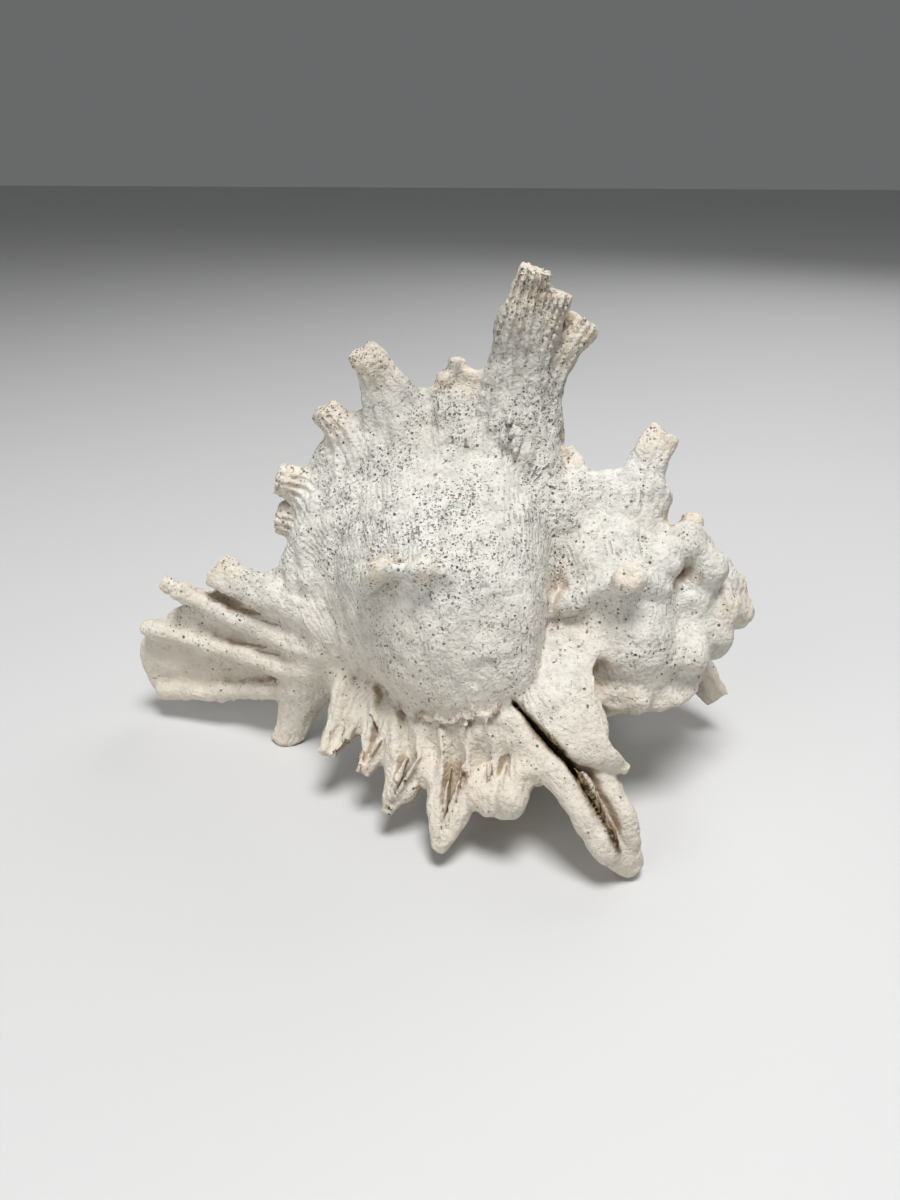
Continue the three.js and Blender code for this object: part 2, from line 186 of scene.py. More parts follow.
LAMELLAE = [
    ([(30.6, 33.4, 203), (28.6, 36.6, 206), (26, 41.2, 210), (24.2, 44.8, 214)],
     [0.24] * 4, [2.6, 2.6, 2, 1]),
    ([(29.4, 34.4, 203), (27.6, 38, 206), (25.2, 42.4, 210.5)], [0.2] * 3, [2.4, 2.2, 1.2]),
    ([(50.6, 33, 202), (51.9, 38, 206.6), (53.4, 42.4, 210.6)], [0.3, 0.26, 0.24], [1.5, 1.5, 1]),
    ([(48.6, 32.6, 202), (50.4, 37.4, 206.4), (52.8, 42, 210.8)], [0.3, 0.26, 0.24], [1.4, 1.4, 0.9]),
    ([(58.2, 31, 202), (60.2, 34, 206), (62.2, 36.8, 210.6)], [0.3, 0.26, 0.24], [1.5, 1.4, 0.9]),
    ([(56.2, 30.8, 202), (58.8, 33.8, 206), (61.8, 36.6, 210.8)], [0.3, 0.26, 0.24], [1.4, 1.4, 0.9]),
    ([(63.8, 27, 203), (65.2, 28.8, 206.6), (66.8, 30, 210)], [0.28, 0.26, 0.24], [1.4, 1.2, 0.9]),
    ([(44.4, 33, 200), (44.2, 36, 204), (43.6, 38, 208)], [0.3, 0.28, 0.26], [1.3, 1.3, 1]),
]
BODY_NODE = ([(62, 27, 142), (58.4, 31.6, 140), (54.6, 31.4, 140.8), (51, 32, 140.8), (46, 28.4, 143)],
             [1.9, 1.8, 1.6, 1.9, 1.6], [2.2, 2.2, 1.9, 2.2, 1.6])
SPIRE_RIDGE = ([(33.5, 14.5, 153), (27.5, 18.6, 149.5), (20.6, 20, 146), (15, 15.6, 143)],
               [2, 2, 2.2, 1.8], [1.6, 1.8, 2, 1.4])

# Knobs: place (along, out, turn) and radius. The small ones are stained as the spine tips are.
TIP_KNOB = 3
KNOB_STAIN = 1.4
KNOB_BLEND = 0.5
BALL_REACH = 6
KNOBS = [
    ((20, 22.8, 143.5), 2.4), ((58.6, 31.6, 139.5), 2.2), ((51, 31.8, 140.5), 2.1),
    ((33.9, 58.9, 88), 0.9), ((31.4, 58.8, 88), 0.9), ((10.4, 14.8, 112), 3.6), ((7, 11.4, 126), 3.2),
    ((25.5, 10.8, 190), 8), ((20.5, 11, 190), 8), ((25, 20.2, 201), 2), ((21.2, 20.6, 202), 2),
    ((14.5, 16.4, 128), 3.2), ((41, 36.8, 206), 3.2), ((45.4, 36, 207), 2.8), ((38.6, 33.4, 203), 2.6),
    ((25.6, 21.6, 82), 1.6), ((2.2, 3.2, 117), 2.3), ((1.8, 2.8, 190), 2.6), ((2.2, 3, 260), 2.2),
    ((1.8, 2.5, 11), 2.2), ((4.5, 6.4, 170), 2.8), ((6.5, 8.2, 200), 3), ((11.5, 13.4, 192), 4),
]

# Dents under the nodes and shelves: place and radius of the ball that is pressed in.
DENT_BLEND = 0.4
DENTS = [
    ((56.5, 33.4, 150.5), 4.8), ((50, 34, 151.5), 4), ((24.5, 22.2, 156), 3.6), ((18.5, 21.4, 155), 3.2),
    ((21.4, 24.6, 142.2), 1.1), ((20.4, 25.4, 142.6), 0.9),
]

# A coiled worm tube at the root of the tall spine: its middle, the radii where the coil starts and
# ends, its turns, and how much the coil leans out and round the axis for each millimetre up.
WORM_PLACE = (37.6, 34.2, 96.9)
WORM_COIL = (1.5, 0.55)
WORM_TURNS = 1.7
WORM_LEAN = (0.9, -0.85)
WORM_TUBE = 0.46
WORM_BLEND = 0.25
WORM_POINTS = 18
WORM_STEPS = 30

# The siphonal canal: sections (along, height, half depth, half height) and the ribs that end in
# fronds, as points (along, shift to the back, shift up) with a radius at each.
CANAL_SECTIONS = [
    (46, 0, 11, 11), (56, 0, 13.8, 13.8), (64, 0, 14.3, 14.6), (70, 0, 13.4, 14.5), (78, -2, 9.8, 13),
    (86, -1.2, 5.4, 12.8), (95, -2, 3.3, 12), (104, -3.4, 2.5, 10.4), (112, -5.6, 2.1, 8.4),
    (116, -7.2, 1.7, 6.6),
]
CANAL_END = 2
CANAL_BLEND = 5
CANAL_RIB_FLUTES = 0.2
CANAL_RIBS = [
    ([(72, -8.5, 4), (83, -5.6, 8.5), (95, -2, 14)], [3.2, 2.6, 1.7]),
    ([(74, -8.5, 3), (86, -5.2, 8), (97.4, -2.6, 12)], [3, 2.4, 1.5]),
    ([(77, -8.6, -1.5), (90, -5, 2.6), (104.5, -2, 9.8)], [3, 2.1, 1.8]),
    ([(81, -8, -6), (96, -4.4, -2.6), (113.6, -2, 2.4)], [2.6, 1.8, 1.5]),
    ([(83, -6.4, -9.8), (98, -3.6, -12), (114.6, -1.5, -12.2)], [2.4, 1.8, 1.4]),
    ([(78, -4, -5), (84, -5, -13), (88.5, -5.7, -21.3)], [6.5, 4.2, 3.1]),
    ([(80, 7, 0), (90, 7.6, 4), (99, 8.6, 10)], [4.5, 2.4, 1.8]),
    ([(90, 3, 0), (101, 3.4, 4.6), (110.5, 3.8, 9)], [3.5, 2, 1.5]),
]

# The slit of the canal on the aperture's side: points (along, shift to the back, shift up), half
# widths and half depths.
CANAL_SLIT = ([(66, 9, 13), (70, 11, 8), (75, 11, 1), (82, 7.2, -4.5), (92, 4, -5.5), (103, 2.6, -6.5),
               (114, 1.9, -8)],
              [1.3, 0.9, 0.7, 0.6, 0.5, 0.45, 0.4], [3.4, 3, 2.6, 2.2, 1.6, 1.2, 0.9])

APERTURE_ALONG = 56
APERTURE_OUT = 18.5
APERTURE_HALF = (15, 10)
APERTURE_TURNS = (-14, 130)
APERTURE_NARROWING = 0.35
APERTURE_BLEND = 1.5
LINING_REACH = (-1, -0.2)
LINING_SMOOTH = 0.8  # share of the relief that the lining is without

# Scallops of the thin lip under the body whorl: the cusps as (along, turn), and how far the arcs sag.
SCALLOPS = [
    (66, 201), (62, 197), (58, 194.5), (55.4, 192), (52.6, 191), (48.4, 188.5), (46, 186.5), (41.4, 184),
]
SCALLOP_SAG = 3.2
SCALLOP_STEPS = 8
SCALLOP_FULL = 4  # length of an arc that sags in full
LIP_SHELF = 2.4  # degrees between the edge and the wall under it
LIP_SEARCH = (10, 40, 0.1)
LIP_RAISED = 0.5
LIP_RADIUS = 0.52
LIP_EDGE_BLEND = 0.3
EDGE_STAIN = (-0.35, 0.05)

# Fine relief in mm: cords as height and pitch, and noises as height, size and seed.
CORDS = [(0.06, 2.9), (0.02, 1.2)]
CORD_WANDER = (0.5, 6, 1)
CORD_PATCHES = (0.5, 4, 5)
LUMPS = [(0.42, 5, 2), (0.3, 2.4, 3)]
TIP_LUMPS = 0.5
GRAIN = (0.17, 1.2, 4)
RELIEF_RISE = 1.5  # height above the floor at which the relief is full

# Lattice noise: the shift for each seed and the multipliers of its hash.
SEED_SHIFT = 17.31
HASH_STEPS = (374761393, 668265263, 2147483647, 1013904223)
HASH_MIX = 1274126177
HASH_MASK = 0xFFFFFFFF
HASH_TOP = 0xFFFF

# Distances in mm at which a recess is felt for, and the jump across the whorl that marks a seam.
HOLLOW_REACHES = (1.2, 3, 6)
SEAM_JUMP = 1.2

# Colours of the shell.
CHALK = (0.735, 0.72, 0.67)
DULL_CHALK = (0.665, 0.635, 0.57)
GREY_CHALK = (0.45, 0.44, 0.41)
GREY_GRAIN = (0.43, 0.41, 0.37)
# Painted shade: a dark grey laid over the highest parts, the tall spine and the top of the body.
UPPER_PAINTED_SHADE = (0.34, 0.325, 0.295)
STRIA_COLOUR = (0.52, 0.48, 0.42)
OCHRE = (0.71, 0.615, 0.49)
# Brown of the recesses: partly stain, partly painted shade.
RECESS_STAIN_AND_SHADE = (0.34, 0.25, 0.165)
EDGE_BROWN = (0.34, 0.22, 0.13)
SMUDGE_GREY = (0.22, 0.22, 0.22)
PIT_BLACK = (0.035, 0.035, 0.033)
SPOT_RED = (0.30, 0.05, 0.025)
# Painted shade in the slot: near black, mottled with a dark brown.
SLOT_DARK = (0.045, 0.028, 0.014)
SLOT_LIGHT = (0.26, 0.19, 0.10)
LINING_CREAM = (0.74, 0.66, 0.55)
LINING_TAN = (0.70, 0.575, 0.45)

# Heights above the floor in metres between which the painted shade on the upper parts, the ochre towards
# the floor, the smudges and the pits come in or fade.
UPPER_SHADE_HEIGHTS = (0.054, 0.08)
OCHRE_HEIGHTS = (0.046, 0.012)
SMUDGE_HEIGHTS = (0.02, 0.05)
PIT_HEIGHTS = (0.014, 0.052)
SPIRE_PLACES = (0.02, 0.032)  # along X, where the pits thin out

# Scales of the noises, in features to the metre.
BROAD_SCALE = 55
PITTED_SCALE = 130
PATCH_SCALE = 150
WANDER_SCALE = 160
STREAK_SCALE = 230
LINE_SCALE = 240
SMUDGE_SCALE = 300
FINE_SCALE = 420
SLOT_SHADE_SCALE = 900
SHAKE_SCALE = 1400.0
SHAKE = 0.0005
GRAIN_SCALE = 1500

# Pits: cells to the metre, and least and greatest radius as a share of a cell.
PITS = (700, 0.05, 0.22)
FINE_PITS = (1500, 0.16, 0.4)
PORES = (2700, 0.16, 0.42)
SPOTS = (160, 0.06, 0.1)
PIT_EDGE = 0.08
STRIA_PITCH = 1.15
STRIA_WANDER = 1.6
SPECULAR = 0.25
BUMP_HEIGHT = 0.0017

# The studio: lights as name, place, size and power, all of them aimed at the shell.
FLOOR_HALF = 3
FLOOR_COLOURS = ((0.60, 0.60, 0.60), (0.64, 0.64, 0.635))
FLOOR_SCALE = 3
FLOOR_ROUGHNESS = 0.6
WORLD_COLOUR = (0.78, 0.79, 0.8, 1)
WORLD_STRENGTH = 0.18
LIGHTS_AIM = (0, 0, 0.03)
LIGHTS = [
    ("key", (0.08, -0.16, 0.62), 0.24, 4.0),
    ("fill", (-0.4, -0.5, 0.3), 0.5, 1.25),
    ("back", (0.25, 0.55, 0.5), 0.6, 1.5),
]
CAMERA_LENS = 27
CAMERA_SENSOR = 36
CAMERA_NEAR = 0.005
CAMERA_PLACE = (0.02504, -0.14468, 0.105)
CAMERA_FORWARD = (-0.1246, 0.8862, -0.4462)

AXES = np.array([
    (-math.cos(AXIS_TILT), 0, -math.sin(AXIS_TILT)),
    (0, 1, 0),
    (-math.sin(AXIS_TILT), 0, math.cos(AXIS_TILT)),
])
ALONG_AXIS = np.array([1.0, 0, 0])
BACK_ACROSS = np.array([0, 1.0, 0])
UP_ACROSS = np.array([0, 0, 1.0])


def smoothstep(x, low, high):
    t = np.clip((x - low) / (high - low), 0, 1)
    return t * t * (3 - 2 * t)


def smooth_min(a, b, blend):
    gap = np.maximum(blend - np.abs(a - b), 0) / blend
    return np.minimum(a, b) - gap * gap * blend / 4


def smooth_max(a, b, blend):
    return -smooth_min(-a, -b, blend)


def at(along, out, turn):
    """A point (along, back, up) from shell coordinates."""
    angle = math.radians(turn)
    return np.array([along, out * math.cos(angle), out * math.sin(angle)])


def size_at(age):
    return WHORL_GROWTH ** (-age / 360)


def beyond(out, turned):
    """Distance past a half plane through the axis, for a place turned from it by so many degrees."""
    return out * np.sin(np.radians(np.clip(turned, -90, 90)))


def curve_through(points, count):
    """Evenly spaced points on a smooth curve through the given ones."""
    points = np.asarray(points, float)
    ends = np.concatenate([[2 * points[0] - points[1]], points, [2 * points[-1] - points[-2]]])
    t = np.linspace(0, len(points) - 1, CURVE_SAMPLES * len(points))
    i = np.minimum(t.astype(int), len(points) - 2)
    t = (t - i)[:, None]
    a, b, c, d = ends[i], ends[i + 1], ends[i + 2], ends[i + 3]
    square, cube = 2 * a - 5 * b + 4 * c - d, 3 * b - a - 3 * c + d
    dense = 0.5 * (2 * b + (c - a) * t + square * t ** 2 + cube * t ** 3)
    run = np.concatenate([[0], np.cumsum(np.linalg.norm(np.diff(dense, axis=0), axis=1))])
    even = np.linspace(0, run[-1], count)
    return np.stack([np.interp(even, run, column) for column in dense.T], 1)


def lattice_noise(p, scale, seed):
    """Smooth noise between -1 and 1 with features of the given size, the same in every run."""
    q = p / scale + seed * SEED_SHIFT
    cell = np.floor(q).astype(np.int64)
    f = q - cell
    f = f * f * (3 - 2 * f)
    total = np.zeros(len(p))
    for corner in np.ndindex(2, 2, 2):
        h = sum(n * step for n, step in zip((*(cell + corner).T, seed), HASH_STEPS)) & HASH_MASK
        h = ((h ^ (h >> 13)) * HASH_MIX) & HASH_MASK
        h = h ^ (h >> 16)
        weight = np.prod(np.where(corner, f, 1 - f), axis=1)
        total += weight * ((h & HASH_TOP) / (HASH_TOP / 2) - 1)
    return total


def scallop_line():
    """Turn and place along the axis of the scalloped edge, in arcs between its cusps."""
    line = []
    for (along, turn), (next_along, next_turn) in zip(SCALLOPS[:-1], SCALLOPS[1:]):
        for share in np.linspace(0, 1, SCALLOP_STEPS + 1)[:-1]:
            sag = SCALLOP_SAG * math.sin(math.pi * share) * min(1, (along - next_along) / SCALLOP_FULL)
            line.append((turn + (next_turn - turn) * share + sag, along + (next_along - along) * share))
    return np.array(line[::-1]).T


class Outline:
    """Signed distance from a whorl's outline and the share across it, tabled over along and out."""

    LOW = -12
    HIGH = 122
    REACH = 72
    STEP = 0.5
    POINTS = 200
    MARGIN = 1.001  # keeps a look-up inside the table's last cell

    def __init__(self, profile):
        self.line = curve_through(profile, self.POINTS)
        ends = [(profile[0][0], 0)], [(WHORL_END, 0)]
        line = np.concatenate([ends[0], self.line, ends[1]])
        share = np.concatenate([[0], np.linspace(0, 1, len(self.line)), [1]])
        along, out = np.meshgrid(
            np.arange(self.LOW, self.HIGH, self.STEP), np.arange(0, self.REACH, self.STEP), indexing="ij")
        nearest = np.full(along.shape, np.inf)
        self.share = np.zeros(along.shape)
        inside = np.zeros(along.shape, bool)
        for (a0, r0), (a1, r1), u0, u1 in zip(line[:-1], line[1:], share[:-1], share[1:]):
            da, dr = a1 - a0, r1 - r0
            t = np.clip(((along - a0) * da + (out - r0) * dr) / (da * da + dr * dr), 0, 1)
            gap = np.hypot(along - a0 - t * da, out - r0 - t * dr)
            closer = gap < nearest
            nearest[closer] = gap[closer]
            self.share[closer] = (u0 + t * (u1 - u0))[closer]
            if da:
                crosses = (a0 > along) != (a1 > along)
                inside ^= crosses & (r0 + (along - a0) / da * dr > out)
        self.distance = np.where(inside, -nearest, nearest).astype(np.float32)
        self.share = self.share.astype(np.float32)

    def look_up(self, along, out):
        x = np.clip((along - self.LOW) / self.STEP, 0, self.share.shape[0] - self.MARGIN)
        y = np.clip(out / self.STEP, 0, self.share.shape[1] - self.MARGIN)
        i, j = x.astype(np.int32), y.astype(np.int32)
        x, y = x - i, y - j
        mixed = []
        for table in (self.distance, self.share):
            low = table[i, j] * (1 - y) + table[i, j + 1] * y
            high = table[i + 1, j] * (1 - y) + table[i + 1, j + 1] * y
            mixed.append(low * (1 - x) + high * x)
        return mixed


BODY = Outline(BODY_PROFILE)
SPIRE = Outline(SPIRE_PROFILE)
SCALLOP_LINE = scallop_line()
SPINE_ROOTS = [
    [spine[1] for spine in SPINES if spine[0] == stage] for stage in range(RIBBED_STAGES)]


def whorl_at(station, radius, blend):
    """Distance and share across the whorl, between the body's outline and the spire's."""
    body, spire = BODY.look_up(station, radius), SPIRE.look_up(station, radius)
    return [b + (s - b) * blend for b, s in zip(body, spire)]


def stage_field(stage, along, out, turn):
    """Distance from one growth stage, and the share across the whorl."""
    since = (turn - LIP_TURN - STAGE_TURN * stage + AHEAD) % 360 - AHEAD
    held = np.clip(since, 0, STAGE_TURN + OVERLAP)
    age = STAGE_TURN * stage + held
    size = size_at(age)
    blend = smoothstep(age, *SPIRE_AGES)
    station = (along + APEX_SINK * smoothstep(age, *SINK_AGES)) / size
    share = whorl_at(station, out / size, blend)[1]
    grown = smoothstep(held, EMERGENCE_TURN, STAGE_TURN)
    drawn = EMERGENCE * grown * (1 - smoothstep(share, *EMERGENCE_SHARES))
    above, share = whorl_at(station - drawn, out / size, blend)
    across = smoothstep(share, *VARIX_RISES) * (1 - smoothstep(share, *VARIX_FADES))
    crest = np.clip(above / VARIX_HEIGHT, 0, 1) * across
    behind = since - VARIX_LEAN * crest
    if stage == FRONT_STAGE:
        foot = np.interp(along, *SCALLOP_LINE[::-1]) + LIP_SHELF
        behind += (LIP_TURN + STAGE_TURN - foot) * (1 - smoothstep(above, 0, FOOT_HEIGHT))
        pleats = np.abs(np.sin(along * math.pi / PLEAT_PITCH + PLEAT_PHASE)) - PLEAT_MEAN
        behind -= PLEAT_DEPTH * pleats * smoothstep(above, *PLEAT_RISES)
    worn = 1 - VARIX_WORN * smoothstep(age, *WORN_AGES)
    ribs = 1
    if stage < RIBBED_STAGES:
        ribs = sum(np.exp(-((along - root) / RIB_WIDTH) ** 2) for root in SPINE_ROOTS[stage])
        ribs = 1 - RIB_DEPTH * (1 - np.minimum(ribs, 1)) * smoothstep(behind, *RIB_TURNS)
    slope = smoothstep(VARIX_WIDTH - np.maximum(behind, 0), 0, VARIX_WIDTH)
    varix = VARIX_HEIGHT * worn * ribs * slope * across
    node = NODE_HEIGHT * np.exp(
        -((held - NODE_TURN) / NODE_SPREAD) ** 2 - ((share - NODE_PLACE) / NODE_LENGTH) ** 2)
    wall = size * (above - varix - node)
    lip = -beyond(out, behind)
    back = beyond(out, since - STAGE_TURN - OVERLAP)
    return np.maximum(smooth_max(wall, lip, LIP_BLEND), back), share


class Limb:
    """A tapering spine, rib or fold along a line, with an oval section that may be fluted and grooved."""

    def __init__(self, line, widths, depths, across=ALONG_AXIS, groove=0, flutes=0, blend=2, tip=True,
                 steps=LIMB_STEPS):
        self.line = curve_through(line, steps)
        share = np.linspace(0, 1, steps)
        self.width = np.interp(share, np.linspace(0, 1, len(widths)), widths)
        self.depth = np.interp(share, np.linspace(0, 1, len(depths)), depths)
        forward = np.gradient(self.line, axis=0)
        self.forward = forward / np.linalg.norm(forward, axis=1)[:, None]
        side = across - (self.forward @ across)[:, None] * self.forward
        self.side = side / np.linalg.norm(side, axis=1)[:, None]
        self.other = np.cross(self.forward, self.side)
        _, back, up = self.line[-1]
        if self.other[-1] @ (0, up, -back) < 0:
            self.other = -self.other
        for name in ("line", "width", "depth", "forward", "side", "other"):
            setattr(self, name, getattr(self, name).astype(np.float32))
        self.groove = groove
        self.flutes = flutes
        self.blend = blend
        self.tip = tip
        reach = max(self.width.max(), self.depth.max()) + 2 * blend + LIMB_SPARE
        self.low = self.line.min(0) - reach
        self.high = self.line.max(0) + reach

    def near(self, p):
        inside = np.all((p > self.low) & (p < self.high), axis=1)
        return np.flatnonzero(inside)

    def field(self, p):
        """Distance from the limb, and the share of its length."""
        nearest = np.full(len(p), np.inf)
        place = np.zeros(len(p))
        last = len(self.line) - 1
        for i in range(last):
            step = self.line[i + 1] - self.line[i]
            t = np.clip((p - self.line[i]) @ step / (step @ step), 0, 1)
            gap = p - self.line[i] - t[:, None] * step
            squared = np.einsum("ij,ij->i", gap, gap)
            closer = squared < nearest
            nearest[closer] = squared[closer]
            place[closer] = i + t[closer]
        i = np.minimum(place.astype(int), last - 1)
        t = place - i

        def between(values):
            share = t[:, None] if values.ndim == 2 else t
            return values[i] + share * (values[i + 1] - values[i])

        gap = p - between(self.line)
        width, depth = between(self.width), between(self.depth)
        ahead = np.einsum("ij,ij->i", gap, between(self.forward))
        x = np.einsum("ij,ij->i", gap, between(self.side)) / width
        y = np.einsum("ij,ij->i", gap, between(self.other)) / depth
        z = ahead / (END_LENGTH * width)
        waves = 1 - 2 * np.abs(np.sin(FLUTE_WAVES * math.pi * x))
        flutes = self.flutes * waves * smoothstep(np.abs(y), *FLUTE_FACES)
        if self.groove:
            y = np.where(y > 0, y / (1 - self.groove * np.exp(-(x / GROOVE_WIDTH) ** 2)), y)
        k0 = np.sqrt(x * x + y * y + z * z)
        k1 = np.sqrt((x / width) ** 2 + (y / depth) ** 2 + (z / width) ** 2)
        distance = k0 * (k0 - 1) / (k1 + TINY) - flutes
        return np.maximum(distance, ahead - END_CUT * width), place / last


def varix_spine(stage, root, tip, width, depth, groove, flutes):
    """A spine that leaves the whorl behind the lip, bends out and tapers fast from a broad root."""
    turn, age = LIP_TURN + STAGE_TURN * stage, STAGE_TURN * stage
    blend = smoothstep(age, *SPIRE_AGES)
    outline = (BODY.line + (SPIRE.line - BODY.line) * blend) * size_at(age)
    outline[:, 0] -= APEX_SINK * smoothstep(age, *SINK_AGES)
    surface = outline[np.argmin(np.abs(outline[:, 0] - root)), 1]
    start, end = at(root, surface * ROOT_SUNK, turn + ROOT_TURN), at(*tip)
    bend = at(root, (surface + tip[1]) / 2, turn + VARIX_LEAN)
    share = np.linspace(0, 1, SPINE_STEPS)[:, None]
    line = start * (1 - share) ** 2 + 2 * bend * share * (1 - share) + end * share ** 2
    flare = (1 - share[:, 0]) ** (FRONT_FLARE if stage == FRONT_STAGE else SPINE_FLARE)
    widths = width[1] + (width[0] - width[1]) * flare
    depths = depth[1] + (depth[0] - depth[1]) * flare
    return Limb(line, widths, depths, groove=groove, flutes=flutes, blend=SPINE_BLEND)


def fold(shape, blend, tip=False, across=ALONG_AXIS):
    points, widths, depths = shape
    return Limb([at(*point) for point in points], widths, depths, across=across, blend=blend, tip=tip)


def scalloped_lip():
    """The thin edge that hangs in arcs between cusps, just on the body whorl."""
    reach = np.arange(*LIP_SEARCH)
    line = []
    for turn, along in SCALLOP_LINE.T[::-1]:
        inside = stage_field(0, np.full(len(reach), along), reach, np.full(len(reach), turn))[0] < 0
        line.append(at(along, reach[inside][-1] + LIP_RAISED, turn))
    radii = [LIP_RADIUS] * len(line)
    return Limb(line, radii, radii, blend=LIP_EDGE_BLEND, tip=False, steps=2 * len(line))


def worm_tube():
    """A thin tube that coils inwards, round its middle."""
    along, out, turn = WORM_PLACE
    line = []
    for share in np.linspace(0, 1, WORM_POINTS):
        angle = 2 * math.pi * WORM_TURNS * share
        coil = WORM_COIL[0] + (WORM_COIL[1] - WORM_COIL[0]) * share
        rise = coil * math.sin(angle)
        line.append(at(
            along + coil * math.cos(angle), out + WORM_LEAN[0] * rise, turn + WORM_LEAN[1] * rise))
    radii = [WORM_TUBE] * len(line)
    return Limb(line, radii, radii, blend=WORM_BLEND, tip=False, steps=WORM_STEPS)


LIMBS = [varix_spine(*spine) for spine in SPINES]
LIMBS += [
    Limb(points, radii, radii, across=BACK_ACROSS, flutes=CANAL_RIB_FLUTES) for points, radii in CANAL_RIBS]
LIMBS += [
    fold(FOLD_FLOOR, blend=1.2),
    fold(LEFT_FOLD, blend=1.4, tip=True),
    fold(RIGHT_FOLD, blend=0.8),
    fold(FLAP, blend=0.6),
    fold(BODY_NODE, blend=1.2, across=at(0, 1, 230)),
    fold(SPIRE_RIDGE, blend=1.8, across=at(0, 1, 237)),
    worm_tube(),
]
LIP = scalloped_lip()
SLOT = fold(FOLD_SLOT, blend=0.6)
SLIT = Limb(*CANAL_SLIT, across=UP_ACROSS, blend=0.6)
BLADES = [fold(shape, blend=0.3) for shape in LAMELLAE]


def canal_field(p):
    """Distance from the flattened blade of the siphonal canal."""
    sections = np.array(CANAL_SECTIONS, float)
    along = np.clip(p[:, 0], sections[0, 0], sections[-1, 0])
    height, depth, tall = (np.interp(along, sections[:, 0], sections[:, k]) for k in (1, 2, 3))
    y, z = p[:, 1], p[:, 2] - height
    x = (p[:, 0] - along) / CANAL_END
    k0 = np.sqrt(x * x + (y / depth) ** 2 + (z / tall) ** 2)
    k1 = np.sqrt(x * x / CANAL_END ** 2 + (y / depth ** 2) ** 2 + (z / tall ** 2) ** 2)
    return k0 * (k0 - 1) / (k1 + TINY)


def columella_field(p, out):
    """Distance from the pillar round the coiling axis."""
    stations, radii = np.array(COLUMELLA, float).T
    along = np.clip(p[:, 0], stations[0], stations[-1])
    past = np.maximum(out - np.interp(along, stations, radii), 0)
    return np.hypot(past, p[:, 0] - along) - COLUMELLA_SPARE


def aperture_field(p, out, turn):
    """Distance from the hollow that follows the coil back from the aperture."""
    since = (turn - LIP_TURN + AHEAD) % 360 - AHEAD
    first, last = APERTURE_TURNS
    share = np.clip((since - first) / (last - first), 0, 1)
    size = size_at(np.clip(since, first, last))
    narrow = size * (1 - APERTURE_NARROWING * share ** 2)
    half_along, half_out = APERTURE_HALF
    x = (p[:, 0] - APERTURE_ALONG * size) / (half_along * narrow)
    y = (out - APERTURE_OUT * size) / (half_out * narrow)
    oval = (np.hypot(x, y) - 1) * half_out * narrow
    return np.maximum(oval, np.maximum(-beyond(out, since - first), beyond(out, since - last)))


def shell_field(p):
    """Distance from the shell's surface, and what the material needs.

    That is the place across the whorl, and how far a point belongs to the tips, the slot, the scalloped
    edge and the lining of the aperture.
    """
    p = p.astype(np.float32)
    along = p[:, 0]
    out = np.hypot(p[:, 1], p[:, 2])
    turn = np.degrees(np.arctan2(p[:, 2], p[:, 1]))
    distance = np.full(len(p), FAR, np.float32)
    across = np.zeros(len(p))
    tips = np.zeros(len(p))
    for stage in range(STAGES):
        size = size_at(STAGE_TURN * stage)
        reach_along, reach_out = (reach * size + STAGE_SPARE for reach in STAGE_REACH)
        near = np.flatnonzero((out < reach_out) & (along < reach_along))
        if not len(near):
            continue
        from_stage, share = stage_field(stage, along[near], out[near], turn[near])
        closer = from_stage < distance[near]
        across[near[closer]] = (share * size)[closer]
        distance[near] = np.minimum(distance[near], from_stage)
    distance = np.minimum(distance, columella_field(p, out))
    distance = smooth_min(distance, canal_field(p), CANAL_BLEND)
    for limb in LIMBS:
        near = limb.near(p)
        if len(near):
            from_limb, place = limb.field(p[near])
            distance[near] = smooth_min(distance[near], from_limb, limb.blend)
            if limb.tip:
                stain = smoothstep(place, *TIP_SHARES) * smoothstep(TIP_DEPTH - from_limb, 0, TIP_DEPTH)
                tips[near] = np.maximum(tips[near], stain)
    for place, radius in KNOBS:
        gap = np.linalg.norm(p - at(*place), axis=1) - radius
        near = np.flatnonzero(gap < BALL_REACH)
        distance[near] = smooth_min(distance[near], gap[near], KNOB_BLEND + radius / 2)
        if radius < TIP_KNOB:
            tips[near] = np.maximum(tips[near], smoothstep(KNOB_STAIN - gap[near], 0, KNOB_STAIN))
    for place, radius in DENTS:
        gap = np.linalg.norm(p - at(*place), axis=1) - radius
        near = np.flatnonzero(gap < BALL_REACH)
        distance[near] = smooth_max(distance[near], -gap[near], DENT_BLEND + radius / 2)
    from_aperture = aperture_field(p, out, turn)
    distance = smooth_max(distance, -from_aperture, APERTURE_BLEND)
    inner = smoothstep(-from_aperture, *LINING_REACH)
    near = SLIT.near(p)
    if len(near):
        distance[near] = smooth_max(distance[near], -SLIT.field(p[near])[0], SLIT.blend)
    slot = np.zeros(len(p))
    near = SLOT.near(p)
    if len(near):
        from_slot = SLOT.field(p[near])[0]
        distance[near] = smooth_max(distance[near], -from_slot, SLOT_BLEND)
        # How far a point lies in the slot, where the material paints shade.
        slot[near] = smoothstep(-from_slot, -SLOT_SHADE_REACH, 0)
    for blade in BLADES:
        near = blade.near(p)
        if len(near):
            distance[near] = np.minimum(distance[near], blade.field(p[near])[0])
    edge = np.zeros(len(p))
    near = LIP.near(p)
    if len(near):
        from_lip = LIP.field(p[near])[0]
        distance[near] = smooth_min(distance[near], from_lip, LIP.blend)
        edge[near] = smoothstep(-from_lip, *EDGE_STAIN)
    height = APEX[2] + p @ AXES[:, 2]
    return np.maximum(distance, -height), across, tips, slot, edge, inner


def cell_corners(counts):
    return np.stack(np.meshgrid(*(np.arange(n) for n in counts), indexing="ij"), -1).reshape(-1, 3)


